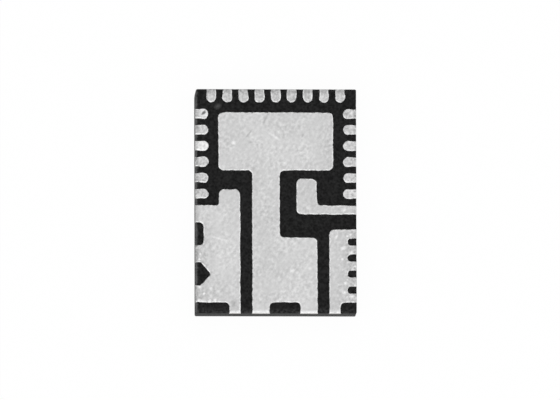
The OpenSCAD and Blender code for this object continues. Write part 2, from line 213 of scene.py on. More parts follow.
def drawn_grain(tree, place, sizes):
    """A grain whose features are that many mm long along X, Y and Z."""
    along = add(tree, "ShaderNodeMapping", {"Vector": place, "Scale": [per_mm(size) for size in sizes]})
    return add(tree, "ShaderNodeTexNoise", {
        "Vector": along.outputs["Vector"], "Scale": 1.0, "Detail": 3.0,
    }).outputs["Fac"]


def soft_spot(tree, place, x, y, length, width, turn):
    """One in the middle of a soft spot, and nothing past its reach along and across."""
    spot = add(tree, "ShaderNodeMapping", {
        "Vector": place, "Location": (x * MM, y * MM, 0), "Rotation": (0, 0, math.radians(turn)),
        "Scale": (length * MM, width * MM, 1),
    }, vector_type="TEXTURE")
    return add(tree, "ShaderNodeTexGradient", {
        "Vector": spot.outputs["Vector"],
    }, gradient_type="SPHERICAL").outputs["Fac"]


# Tin: its shade goes from the dark tone at 0 to the light one at 1
TIN_DARK = "7c7c7c"
TIN_LIGHT = "f6f6f6"
TIN_SHADE = 0.611
TIN_ROUGHNESS = (0.44, 0.56)

# The direction in which the strip was wiped, in degrees from X
WIPE_TURN = 55

# The mottle of the tin: its size along and across the wiping, how much sharper its light spots are than its
# dark ones, the size of the zones in which it is weak or strong, and its change of shade there
MOTTLE_LENGTH = 0.118
MOTTLE_WIDTH = 0.1
MOTTLE_SHARPNESS = 1.4
MOTTLE_ZONE = 0.5
MOTTLE_WEAK = 0.049
MOTTLE_STRONG = 0.117

# Slow changes of the plating's thickness, and fine scratches: sizes and changes of shade
THICKNESS_SIZE = 1.1
THICKNESS_CHANGE = 0.045
SCRATCH_LENGTH = 1.2
SCRATCH_WIDTH = 0.06
SCRATCH_CHANGE = 0.04

# Small pits, the beads of the highlight painted on the rounded rim and the crystals of the plating
PIT_SIZE = 0.075
RIM_HIGHLIGHT_BEAD_SIZE = 0.09
RIM_HIGHLIGHT_BEAD_LOW = -0.3
RIM_HIGHLIGHT_BEAD_HIGH = 2.3
CRYSTAL_SIZE = 0.035
CRYSTAL_HEIGHT = 0.002
CRYSTAL_BUMP = 0.6

# Grit from the saw: the distance of its specks, where a speck ends and where it is full as shares of that,
# the random numbers from which a place has a speck, the changes of shade, and where the grit begins and is
# dense, from the middle of the chip
GRIT_SIZE = 0.13
SPECK_END = 0.38
SPECK_FULL = 0.14
SPECK_CHANCE = (0.62, 0.66)
SPECK_CHANGE = 0.45
GRIT_UNEVEN = 0.09
GRIT_DULL = 0.07
GRIT_BESIDE = (1.8, 2.3)
GRIT_BELOW = (-0.6, -1.2)

# How ragged the marks and painted glints, and the smears and painted light at the cut ends, are on the
# tin: size and reach of the wandering
MARKS_AND_GLINTS_RAGGED = (0.07, 0.06)
SMEARS_AND_PAINTED_LIGHT_RAGGED = (0.13, 0.16)

# Where the terminals meet the cut they are darker or lighter: partly tin dragged by the saw, partly
# painted shade on the upper, left and right ends and a painted highlight on the lower ends. Each: axis,
# the side's place, reach inwards, and the change of shade
CUT_END_SMEARS_AND_PAINTED_LIGHT = [
    ("Y", package_high.y, -0.18, -0.32),
    ("X", package_low.x, 0.13, -0.34),
    ("X", package_high.x, -0.11, -0.20),
    ("Y", package_low.y, 0.12, 0.36),
]

# Marks on the tin, with painted glints among the lighter spots, such as those on the right-hand leads
# and at the lower ends of the tabs. Each: middle x, y, reach along and across, turn in degrees, and the
# change of shade
TIN_MARKS_AND_GLINTS = [
    (-0.83, 2.10, 0.22, 0.040, 50, -0.33),
    (-0.34, 2.50, 0.20, 0.040, 62, -0.22),
    (-0.78, 1.84, 0.08, 0.050, 0, -0.26),
    (-0.09, 2.05, 0.37, 0.055, -34, 0.19),
    (0.05, 1.96, 0.13, 0.065, -33, 0.14),
    (-1.31, 1.81, 0.09, 0.080, 70, 0.36),
    (-1.80, -1.17, 0.46, 0.045, -15, 0.17),
    (-2.20, 2.75, 0.20, 0.170, 0, 0.46),
    (-2.23, 2.76, 0.105, 0.062, 50, -1.80),
    (2.08, -1.47, 0.10, 0.080, 20, 0.52),
    (2.12, -2.86, 0.09, 0.075, 0, 0.46),
    (2.15, -2.57, 0.09, 0.075, 0, 0.48),
    (1.86, -1.13, 0.10, 0.060, 60, 0.28),
    (0.51, -2.19, 0.09, 0.070, 0, 0.26),
    (1.05, -2.10, 0.09, 0.070, 0, 0.26),
    (0.84, 2.06, 0.09, 0.050, 70, -0.26),
    (1.98, 0.28, 0.12, 0.050, 70, 0.28),
    (2.12, -0.30, 0.11, 0.050, 60, 0.30),
    (2.34, -1.62, 0.11, 0.070, 0, 0.55),
    (2.36, -2.98, 0.10, 0.065, 20, 0.50),
    (-1.30, -3.24, 0.22, 0.150, 90, -0.26),
    (-2.38, -2.69, 0.10, 0.070, 10, 0.50),
    (-2.03, -2.74, 0.08, 0.060, 0, 0.30),
    (-2.40, -3.10, 0.09, 0.070, 70, 0.50),
    (-2.30, -3.12, 0.07, 0.060, 0, 0.45),
    (-2.06, -3.12, 0.08, 0.060, 0, 0.50),
    (-1.90, -3.10, 0.07, 0.060, 0, 0.35),
]


def clean_tin_shade(tree, place):
    """The shade of clean plating: a fine mottle drawn out a little along the wiping and stronger in some
    zones than in others, slow changes of thickness, and scratches in the direction of wiping."""
    turned = (0, 0, math.radians(WIPE_TURN))
    drawn = add(tree, "ShaderNodeMapping", {
        "Vector": place, "Rotation": turned,
        "Scale": (MOTTLE_LENGTH * MM, MOTTLE_WIDTH * MM, MOTTLE_WIDTH * MM),
    }, vector_type="TEXTURE")
    mottle = add(tree, "ShaderNodeTexNoise", {
        "Vector": drawn.outputs["Vector"], "Scale": 1.0, "Detail": 1.5, "Roughness": 0.5,
    }, noise_dimensions="2D")
    peaks = add(tree, "ShaderNodeMath", {
        0: mottle.outputs["Fac"], 1: MOTTLE_SHARPNESS,
    }, operation="POWER")
    spots = add(tree, "ShaderNodeMapRange", {
        "Value": peaks.outputs["Value"], "From Min": NOISE_LOW ** MOTTLE_SHARPNESS,
        "From Max": NOISE_HIGH ** MOTTLE_SHARPNESS, "To Min": -1.0, "To Max": 1.0,
    }, clamp=False)
    zones = add(tree, "ShaderNodeTexNoise", {"Vector": place, "Scale": per_mm(MOTTLE_ZONE), "Detail": 1.0})
    strength = add(tree, "ShaderNodeMapRange", {
        "Value": zones.outputs["Fac"], **NARROW, "To Min": MOTTLE_WEAK, "To Max": MOTTLE_STRONG,
    })
    shade = add(tree, "ShaderNodeMath", {
        0: spots.outputs["Result"], 1: strength.outputs["Result"], 2: TIN_SHADE,
    }, operation="MULTIPLY_ADD")
    slow = add(tree, "ShaderNodeTexNoise", {
        "Vector": place, "Scale": per_mm(THICKNESS_SIZE), "Detail": 1.0,
    })
    thickness = add(tree, "ShaderNodeMapRange", {
        "Value": slow.outputs["Fac"], **WIDE, "To Min": -THICKNESS_CHANGE, "To Max": THICKNESS_CHANGE,
    })
    shade = add(tree, "ShaderNodeMath", {
        0: thickness.outputs["Result"], 1: shade.outputs["Value"],
    }, operation="ADD")
    wiped = add(tree, "ShaderNodeMapping", {
        "Vector": place, "Rotation": turned, "Scale": (SCRATCH_LENGTH * MM, SCRATCH_WIDTH * MM, 1.0),
    }, vector_type="TEXTURE")
    lines = add(tree, "ShaderNodeTexNoise", {
        "Vector": wiped.outputs["Vector"], "Scale": 1.0, "Detail": 1.0,
    })
    scratches = add(tree, "ShaderNodeMapRange", {
        "Value": lines.outputs["Fac"], **HIGHEST, "To Max": SCRATCH_CHANGE,
    })
    return add(tree, "ShaderNodeMath", {
        0: scratches.outputs["Result"], 1: shade.outputs["Value"],
    }, operation="ADD").outputs["Value"]


def saw_grit(tree, worn, across, uneven):
    """The change of shade that grit from the saw brings beside the lower half of the two long sides: an
    uneven, duller tone with bright specks of tin."""
    cells = add(tree, "ShaderNodeTexVoronoi", {"Vector": worn, "Scale": per_mm(GRIT_SIZE)})
    chance = add(tree, "ShaderNodeSeparateXYZ", {"Vector": cells.outputs["Color"]})
    speck = add(tree, "ShaderNodeMapRange", {
        "Value": cells.outputs["Distance"], "From Min": SPECK_END, "From Max": SPECK_FULL,
        "To Max": SPECK_CHANGE,
    })
    chosen = add(tree, "ShaderNodeMapRange", {
        "Value": chance.outputs["X"], "From Min": SPECK_CHANCE[0], "From Max": SPECK_CHANCE[1],
    })
    specks = add(tree, "ShaderNodeMath", {
        0: speck.outputs["Result"], 1: chosen.outputs["Result"],
    }, operation="MULTIPLY")
    grit = add(tree, "ShaderNodeMath", {
        0: uneven, 1: GRIT_UNEVEN, 2: specks.outputs["Value"],
    }, operation="MULTIPLY_ADD")
    grit = add(tree, "ShaderNodeMath", {0: grit.outputs["Value"], 1: GRIT_DULL}, operation="SUBTRACT")
    aside = add(tree, "ShaderNodeMath", {0: across["X"]}, operation="ABSOLUTE")
    for distance, (begins, dense) in (
        (aside.outputs["Value"], GRIT_BESIDE),
        (across["Y"], GRIT_BELOW),
    ):
        share = add(tree, "ShaderNodeMapRange", {
            "Value": distance, "From Min": begins * MM, "From Max": dense * MM,
        })
        grit = add(tree, "ShaderNodeMath", {
            0: share.outputs["Result"], 1: grit.outputs["Value"],
        }, operation="MULTIPLY")
    return grit.outputs["Value"]


def tin_plating():
    """Matt electroplated tin over copper: a pale, slightly mottled grey that spreads every reflection,
    with fine crystals, faint handling scratches, a few lighter and darker marks of which some lighter ones
    are painted glints, smears from the saw with painted shade and a painted highlight at the cut ends,
    and a highlight painted on the rounded rims."""
    made = new_material("matt_tin_plating")
    tree = made.node_tree
    place = add(tree, "ShaderNodeTexCoord").outputs["Object"]
    shade = clean_tin_shade(tree, place)
    worn = wander(tree, place, *MARKS_AND_GLINTS_RAGGED)
    # Marks, and glints painted as lighter spots
    for *spot, change in TIN_MARKS_AND_GLINTS:
        shade = add(tree, "ShaderNodeMath", {
            0: soft_spot(tree, worn, *spot), 1: change, 2: shade,
        }, operation="MULTIPLY_ADD").outputs["Value"]
    across = add(tree, "ShaderNodeSeparateXYZ", {"Vector": wander(tree, place, *SMEARS_AND_PAINTED_LIGHT_RAGGED)}).outputs
    # Saw smears at the cut ends, with painted shade on three sides and a painted highlight on the lower
    # side
    for axis, side, reach, change in CUT_END_SMEARS_AND_PAINTED_LIGHT:
        smear_and_painted_light = add(tree, "ShaderNodeMapRange", {
            "Value": across[axis], "From Min": side + reach * MM, "From Max": side, "To Max": change,
        })
        shade = add(tree, "ShaderNodeMath", {
            0: smear_and_painted_light.outputs["Result"], 1: shade,
        }, operation="ADD").outputs["Value"]
    # Only the leads are pitted, which their attribute says
    pits = add(tree, "ShaderNodeTexNoise", {"Vector": place, "Scale": per_mm(PIT_SIZE), "Detail": 2.0})
    uneven = add(tree, "ShaderNodeMapRange", {
        "Value": pits.outputs["Fac"], **NARROW, "To Min": -1.0, "To Max": 1.0,
    }).outputs["Result"]
    pitting = add(tree, "ShaderNodeAttribute", attribute_name="pitting")
    shade = add(tree, "ShaderNodeMath", {
        0: pitting.outputs["Fac"], 1: uneven, 2: shade,
    }, operation="MULTIPLY_ADD").outputs["Value"]
    shade = add(tree, "ShaderNodeMath", {
        0: saw_grit(tree, worn, across, uneven), 1: shade,
    }, operation="ADD").outputs["Value"]
    # The highlight painted on the rounded rim is beaded: it breaks into small bright beads along the edge
    highlight_beads = add(tree, "ShaderNodeTexNoise", {"Vector": place, "Scale": per_mm(RIM_HIGHLIGHT_BEAD_SIZE), "Detail": 1.0})
    beaded = add(tree, "ShaderNodeMapRange", {
        "Value": highlight_beads.outputs["Fac"], **NARROW, "To Min": RIM_HIGHLIGHT_BEAD_LOW, "To Max": RIM_HIGHLIGHT_BEAD_HIGH,
    })
    burnish = add(tree, "ShaderNodeAttribute", attribute_name="burnish")
    shade = add(tree, "ShaderNodeMath", {
        0: burnish.outputs["Fac"], 1: beaded.outputs["Result"], 2: shade,
    }, operation="MULTIPLY_ADD").outputs["Value"]
    tone = add(tree, "ShaderNodeAttribute", attribute_name="tone")
    shade = add(tree, "ShaderNodeMath", {0: tone.outputs["Fac"], 1: shade}, operation="ADD")
    colour = add(tree, "ShaderNodeMix", {
        0: shade.outputs["Value"], 6: linear(TIN_DARK), 7: linear(TIN_LIGHT),
    }, data_type="RGBA")
    crystals = add(tree, "ShaderNodeTexNoise", {
        "Vector": place, "Scale": per_mm(CRYSTAL_SIZE), "Detail": 2.0,
    }).outputs["Fac"]
    rough = add(tree, "ShaderNodeMapRange", {
        "Value": crystals, **WIDE, "To Min": TIN_ROUGHNESS[0], "To Max": TIN_ROUGHNESS[1],
    })
    bump = add(tree, "ShaderNodeBump", {
        "Height": crystals, "Strength": CRYSTAL_BUMP, "Distance": CRYSTAL_HEIGHT * MM,
    })
    shader = add(tree, "ShaderNodeBsdfPrincipled", {
        "Base Color": colour.outputs[2], "Metallic": 1.0, "Roughness": rough.outputs["Result"],
        "Normal": bump.outputs["Normal"],
    })
    add(tree, "ShaderNodeOutputMaterial", {"Surface": shader.outputs[0]})
    return made


# Lead ends: the cut copper and the tin smeared over it. The saw leaves lines about 0.01 mm apart, drawn at
# 0.025 mm so that they show
CUT_COPPER = "a19a94"
SMEARED_TIN = "bab8b5"
END_ROUGHNESS = (0.32, 0.5)
END_LINES = (0.9, 0.9, 0.025)
END_LINE_DEPTH = 0.003
END_SMEAR_SIZE = 0.15
SAW_BUMP = 0.7


def sawn_lead_end():
    """Copper cut through with the package and smeared with tin by the saw: a duller, faintly warm grey
    with fine lines along the cut."""
    made = new_material("sawn_tinned_copper")
    tree = made.node_tree
    place = add(tree, "ShaderNodeTexCoord").outputs["Object"]
    lines = drawn_grain(tree, place, END_LINES)
    smear = add(tree, "ShaderNodeTexNoise", {
        "Vector": place, "Scale": per_mm(END_SMEAR_SIZE), "Detail": 2.0,
    })
    amount = add(tree, "ShaderNodeMapRange", {"Value": smear.outputs["Fac"], **NARROW})
    colour = add(tree, "ShaderNodeMix", {
        0: amount.outputs["Result"], 6: linear(CUT_COPPER), 7: linear(SMEARED_TIN),
    }, data_type="RGBA")
    rough = add(tree, "ShaderNodeMapRange", {
        "Value": lines, **WIDE, "To Min": END_ROUGHNESS[0], "To Max": END_ROUGHNESS[1],
    })
    bump = add(tree, "ShaderNodeBump", {
        "Height": lines, "Strength": SAW_BUMP, "Distance": END_LINE_DEPTH * MM,
    })
    shader = add(tree, "ShaderNodeBsdfPrincipled", {
        "Base Color": colour.outputs[2], "Metallic": 1.0, "Roughness": rough.outputs["Result"],
        "Normal": bump.outputs["Normal"],
    })
    add(tree, "ShaderNodeOutputMaterial", {"Surface": shader.outputs[0]})
    return made


# Moulded faces: the flow of the compound gives a fine change of tone. The eroded grain of the tool is about
# 0.01 mm across, drawn at 0.03 mm so that it shows
EPOXY_IOR = 1.55
MOULDED_DARK = "030303"
MOULDED_LIGHT = "202020"
MOULDED_ROUGHNESS = (0.58, 0.74)
MOULDED_GLOSS = 0.12
FLOW_SIZE = 0.07
TOOL_GRAIN_SIZE = 0.03
TOOL_GRAIN_DEPTH = 0.004
TOOL_GRAIN_BUMP = 0.7

# Where the moulding is paler beside the cut: along the lower side sawdust and a painted sheen of the lit,
# rounded edge, and along the left side a painted reflection that stands in for the lit wall and rim.
# Each: axis, the side's place, reach inwards, the change of shade, and how unevenly it lies
PALE_SIDES_DUST_AND_SHEEN = [
    ("Y", package_low.y, 0.22, 0.95, 1.0),
    ("X", package_low.x, 0.095, 7.5, 0.0),
]
PALE_MARKS_RAGGED = (0.09, 0.12)
DUST_HEAP_SIZE = 0.08

# One pale smudge: middle x, y, reach along and across, turn in degrees, and the change of shade
PALE_SMUDGE = (-1.80, 2.96, 0.15, 0.11, 35, 4.5)


def moulded_epoxy():
    """Black epoxy moulding compound as it leaves the mould: near black and matt, with the fine grain of
    the spark-eroded tool, a little sawdust and a painted sheen along the lower side, a pale painted
    reflection along the left rim and one pale smudge."""
    made = new_material("moulded_black_epoxy")
    tree = made.node_tree
    place = add(tree, "ShaderNodeTexCoord").outputs["Object"]
    flow = add(tree, "ShaderNodeTexNoise", {"Vector": place, "Scale": per_mm(FLOW_SIZE), "Detail": 3.0})
    shade = add(tree, "ShaderNodeMapRange", {"Value": flow.outputs["Fac"], **NARROW}).outputs["Result"]
    worn = wander(tree, place, *PALE_MARKS_RAGGED)
    across = add(tree, "ShaderNodeSeparateXYZ", {"Vector": worn}).outputs
    heaps = add(tree, "ShaderNodeTexNoise", {
        "Vector": place, "Scale": per_mm(DUST_HEAP_SIZE), "Detail": 1.0,
    })
    # Paler sides: sawdust and painted sheen below, a painted reflection on the left
    for axis, side, reach, change, unevenness in PALE_SIDES_DUST_AND_SHEEN:
        dust_and_sheen = add(tree, "ShaderNodeMapRange", {
            "Value": across[axis], "From Min": side + reach * MM, "From Max": side, "To Max": change,
        }, interpolation_type="SMOOTHSTEP")
        patchy = add(tree, "ShaderNodeMapRange", {
            "Value": heaps.outputs["Fac"], **STEEP, "To Min": 1 - unevenness, "To Max": 1 + unevenness,
        })
        shade = add(tree, "ShaderNodeMath", {
            0: dust_and_sheen.outputs["Result"], 1: patchy.outputs["Result"], 2: shade,
        }, operation="MULTIPLY_ADD").outputs["Value"]
    *spot, change = PALE_SMUDGE
    shade = add(tree, "ShaderNodeMath", {
        0: soft_spot(tree, worn, *spot), 1: change, 2: shade,
    }, operation="MULTIPLY_ADD")
    colour = add(tree, "ShaderNodeMix", {
        0: shade.outputs["Value"], 6: linear(MOULDED_DARK), 7: linear(MOULDED_LIGHT),
    }, data_type="RGBA", clamp_factor=False)
    grain = add(tree, "ShaderNodeTexNoise", {
        "Vector": place, "Scale": per_mm(TOOL_GRAIN_SIZE), "Detail": 2.0,
    }).outputs["Fac"]
    bump = add(tree, "ShaderNodeBump", {
        "Height": grain, "Strength": TOOL_GRAIN_BUMP, "Distance": TOOL_GRAIN_DEPTH * MM,
    })
    rough = add(tree, "ShaderNodeMapRange", {
        "Value": grain, **WIDE, "To Min": MOULDED_ROUGHNESS[0], "To Max": MOULDED_ROUGHNESS[1],
    })
    shader = add(tree, "ShaderNodeBsdfPrincipled", {
        "Base Color": colour.outputs[2], "Roughness": rough.outputs["Result"], "IOR": EPOXY_IOR,
        "Specular IOR Level": MOULDED_GLOSS, "Normal": bump.outputs["Normal"],
    })
    add(tree, "ShaderNodeOutputMaterial", {"Surface": shader.outputs[0]})
    return made


# Sawn walls: lines about 0.01 mm apart, drawn at 0.03 mm so that they show, and grains of filler up to
# 0.03 mm across, whose middle and end are shares of their distance
SAWN_DARK = "131313"
SAWN_LIGHT = "303030"
SAWN_ROUGHNESS = 0.68
SAWN_GLOSS = 0.15
WALL_LINES = (1.4, 1.4, 0.03)
WALL_LINE_DEPTH = 0.005
WALL_LINE_CHANGE = 0.4
FILLER_SIZE = 0.045
FILLER_MIDDLE = 0.12
FILLER_END = 0.34
FILLER_CHANGE = 0.45


def sawn_epoxy():
    """The same compound cut by the dicing saw: a little greyer than a moulded face, with lines along the
    cut and pale specks where the silica filler is cut through."""
    made = new_material("sawn_black_epoxy")
    tree = made.node_tree
    place = add(tree, "ShaderNodeTexCoord").outputs["Object"]
    lines = drawn_grain(tree, place, WALL_LINES)
    lined = add(tree, "ShaderNodeMapRange", {"Value": lines, **WIDE, "To Max": WALL_LINE_CHANGE})
    filler = add(tree, "ShaderNodeTexVoronoi", {"Vector": place, "Scale": per_mm(FILLER_SIZE)})
    speck = add(tree, "ShaderNodeMapRange", {
        "Value": filler.outputs["Distance"], "From Min": FILLER_MIDDLE, "From Max": FILLER_END,
        "To Min": FILLER_CHANGE, "To Max": 0.0,
    })
    shade = add(tree, "ShaderNodeMath", {
        0: speck.outputs["Result"], 1: lined.outputs["Result"],
    }, operation="ADD")
    colour = add(tree, "ShaderNodeMix", {
        0: shade.outputs["Value"], 6: linear(SAWN_DARK), 7: linear(SAWN_LIGHT),
    }, data_type="RGBA")
    bump = add(tree, "ShaderNodeBump", {
        "Height": lines, "Strength": SAW_BUMP, "Distance": WALL_LINE_DEPTH * MM,
    })
    shader = add(tree, "ShaderNodeBsdfPrincipled", {
        "Base Color": colour.outputs[2], "Roughness": SAWN_ROUGHNESS, "IOR": EPOXY_IOR,
        "Specular IOR Level": SAWN_GLOSS, "Normal": bump.outputs["Normal"],
    })
    add(tree, "ShaderNodeOutputMaterial", {"Surface": shader.outputs[0]})
    return made


INNER_BUMP = 0.5


def two_tone(name, dark, light, size, roughness, metallic=1.0, stretch=1.0, height=0.001):
    """A material for the pieces inside the moulding: two tones in a fine grain, stretched along X where
    the metal was rolled or drawn, which also gives its roughness and bump."""
    made = new_material(name)
    tree = made.node_tree
    place = add(tree, "ShaderNodeTexCoord").outputs["Object"]
    grain = drawn_grain(tree, place, (size * stretch, size, size))
    amount = add(tree, "ShaderNodeMapRange", {"Value": grain, **WIDE}).outputs["Result"]
    colour = add(tree, "ShaderNodeMix", {0: amount, 6: linear(dark), 7: linear(light)}, data_type="RGBA")
    rough = add(tree, "ShaderNodeMapRange", {
        "Value": amount, "To Min": roughness[0], "To Max": roughness[1],
    })
    bump = add(tree, "ShaderNodeBump", {"Height": grain, "Strength": INNER_BUMP, "Distance": height * MM})
    shader = add(tree, "ShaderNodeBsdfPrincipled", {
        "Base Color": colour.outputs[2], "Metallic": metallic, "Roughness": rough.outputs["Result"],
        "Normal": bump.outputs["Normal"],
    })
    add(tree, "ShaderNodeOutputMaterial", {"Surface": shader.outputs[0]})
    return made


def white_card():
    """The table: white card that keeps a faint shadow and that the camera and reflections see as white."""
    made = new_material("white_card")
    tree = made.node_tree
    path = add(tree, "ShaderNodeLightPath")
    seen = add(tree, "ShaderNodeMath", {
        0: path.outputs["Is Camera Ray"], 1: path.outputs["Is Glossy Ray"],
    }, operation="MAXIMUM")
    seen = add(tree, "ShaderNodeMath", {
        0: seen.outputs["Value"], 1: path.outputs["Is Transmission Ray"],
    }, operation="MAXIMUM")
    share = add(tree, "ShaderNodeMath", {0: seen.outputs["Value"], 1: CARD_WHITE}, operation="MULTIPLY")
    card = add(tree, "ShaderNodeBsdfDiffuse", {"Color": linear("f6f6f6")})
    glow = add(tree, "ShaderNodeEmission", {"Color": linear("ffffff"), "Strength": 1.0})
    both = add(tree, "ShaderNodeMixShader", {
        0: share.outputs["Value"], 1: card.outputs[0], 2: glow.outputs[0],
    })
    add(tree, "ShaderNodeOutputMaterial", {"Surface": both.outputs[0]})
    return made


tin = tin_plating()
sawn_metal = sawn_lead_end()
black_epoxy = moulded_epoxy()
cut_epoxy = sawn_epoxy()


def cad_solid(node):
    """A copy of a CAD node with its triangles welded and its flat faces whole again."""
    solid = bmesh.new()
    solid.from_mesh(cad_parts[node].data)
    bmesh.ops.remove_doubles(solid, verts=solid.verts, dist=WELD)
    bmesh.ops.dissolve_limit(solid, angle_limit=FLAT_ANGLE, verts=solid.verts, edges=solid.edges)
    return solid


def from_side(point):
    """How far a point is from the nearest of the package's four sawn sides."""
    return min(
        abs(point[axis] - limit[axis])
        for limit in (package_low, package_high) for axis in (0, 1)
    )


def on_side(point):
    """True for a point on one of the four sawn sides."""
    return from_side(point) < ON_PLANE


def on_level(edge, height):
    """True for an edge that lies at that height."""
    return all(abs(corner.co.z - height) < ON_PLANE for corner in edge.verts)


def new_object(name, mesh):
    """An object at the origin, in the scene."""
    made = bpy.data.objects.new(name, mesh)
    bpy.context.scene.collection.objects.link(made)
    return made


def solid_object(name, solid):
    """An object with the mesh of a solid, which is used up."""
    mesh = bpy.data.meshes.new(name)
    solid.to_mesh(mesh)
    solid.free()
    return new_object(name, mesh)


def settle(piece):
    """Turns a piece and its modifiers into a plain mesh."""
    graph = bpy.context.evaluated_depsgraph_get()
    mesh = bpy.data.meshes.new_from_object(piece.evaluated_get(graph), depsgraph=graph)
    piece.modifiers.clear()
    piece.data = mesh
    mesh.name = piece.name


def round_edges(piece, widest):
    """Rounds the edges that carry a bevel weight, each to its share of the widest rounding. Flat faces stay
    flat, and the roundings between them are smooth."""
    rounding = piece.modifiers.new("rounding", "BEVEL")
    rounding.limit_method = "WEIGHT"
    rounding.width = widest * MM
    rounding.segments = ROUND_STEPS
    rounding.use_clamp_overlap = False
    settle(piece)
    for face in piece.data.polygons:
        face.use_smooth = UPRIGHT_BELOW < abs(face.normal.z) < LEVEL_ABOVE


def cut_short(solid, edge, step):
    """Cuts an edge into short steps, so that it can be made uneven, and returns the new points."""
    steps = int(edge.calc_length() / (step * MM))
    if steps < 2:
        return []
    cut = bmesh.ops.subdivide_edges(solid, edges=[edge], cuts=steps - 1)
    return [part for part in cut["geom_inner"] if isinstance(part, bmesh.types.BMVert)]


def terminal_blank(name, node, burnish, step):
    """A terminal of the lead frame from its CAD node, with its outline cut into short steps and its upper
    edges rounded. Attributes mark the faces that the saw cut, the highlight painted on the rounded rim,
    and how freely each point may follow the waves of an etched edge."""
    solid = cad_solid(node)
    for edge in [e for e in solid.edges if on_level(e, terminal_z)]:
        cut_short(solid, edge, step)
    weights = solid.edges.layers.float.new("bevel_weight_edge")
    for edge in solid.edges:
        if on_level(edge, terminal_z):
            edge[weights] = 1.0
    piece = solid_object(name, solid)
    round_edges(piece, TERMINAL_ROUND)
    sawn = piece.data.attributes.new("sawn", "BOOLEAN", "FACE")
    for face in piece.data.polygons:
        sawn.data[face.index].value = on_side(face.center) and abs(face.normal.z) < UPRIGHT_BELOW
    rim = piece.data.attributes.new("burnish", "FLOAT", "POINT")
    etched = piece.data.attributes.new("etched", "FLOAT", "POINT")
    for corner in piece.data.vertices:
        uncut = min(1, from_side(corner.co) / (WAVE_FADE * MM))
        upper = corner.co.z > mould_high.z - TERMINAL_ROUND * MM
        etched.data[corner.index].value = uncut if upper else 0.0
        # A highlight painted on the rounded rim, growing down the rounding as it turns away from the top
        drop = (terminal_z - corner.co.z) / (terminal_z - mould_high.z)
        rim.data[corner.index].value = burnish * uncut * math.sqrt(min(1, max(0, drop)))
    return piece


def pad(name):
    """One of the large terminals, with the slightly wavy outline that etching leaves."""
    piece = terminal_blank("visual_" + name, name, PAD_PAINTED_RIM_HIGHLIGHT, OUTLINE_STEP)
    tone = piece.data.attributes.new("tone", "FLOAT", "POINT")
    etched = piece.data.attributes["etched"]
    for corner in piece.data.vertices:
        tone.data[corner.index].value = PAD_TONES[name]
        wave = noise.noise_vector(corner.co.xy.to_3d() / (EDGE_WAVE_LENGTH * MM))
        corner.co += Vector((wave.x, wave.y, 0)) * EDGE_WAVE * MM * etched.data[corner.index].value
    piece.data.materials.append(tin)
    piece.data.materials.append(sawn_metal)
    for face, sawn in zip(piece.data.polygons, piece.data.attributes["sawn"].data):
        face.material_index = int(sawn.value)
    return piece


def etched_lead():
    """A pattern for the leads: one lead with its cut end at the origin and its tip along X, with the belly
    and the bowed tip that etching leaves."""
    piece = terminal_blank("single_lead", "lead_left_1", 1.0, LEAD_STEP)
    low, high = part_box("lead_left_1")
    piece.data.transform(Matrix.Translation((-low.x, -(low.y + high.y) / 2, 0)))
    for corner, etched in zip(piece.data.vertices, piece.data.attributes["etched"].data):
        along = corner.co.x / (high.x - low.x)
        aside = corner.co.y / (high.y - low.y) * 2
        swell = LEAD_BELLY * math.sin(math.pi * along ** BELLY_PEAK) - TIP_TAPER * along ** 4
        corner.co.x -= TIP_BOW * MM * along ** 4 * aside ** 2 * etched.value
        corner.co.y *= 1 + swell * etched.value
    return piece


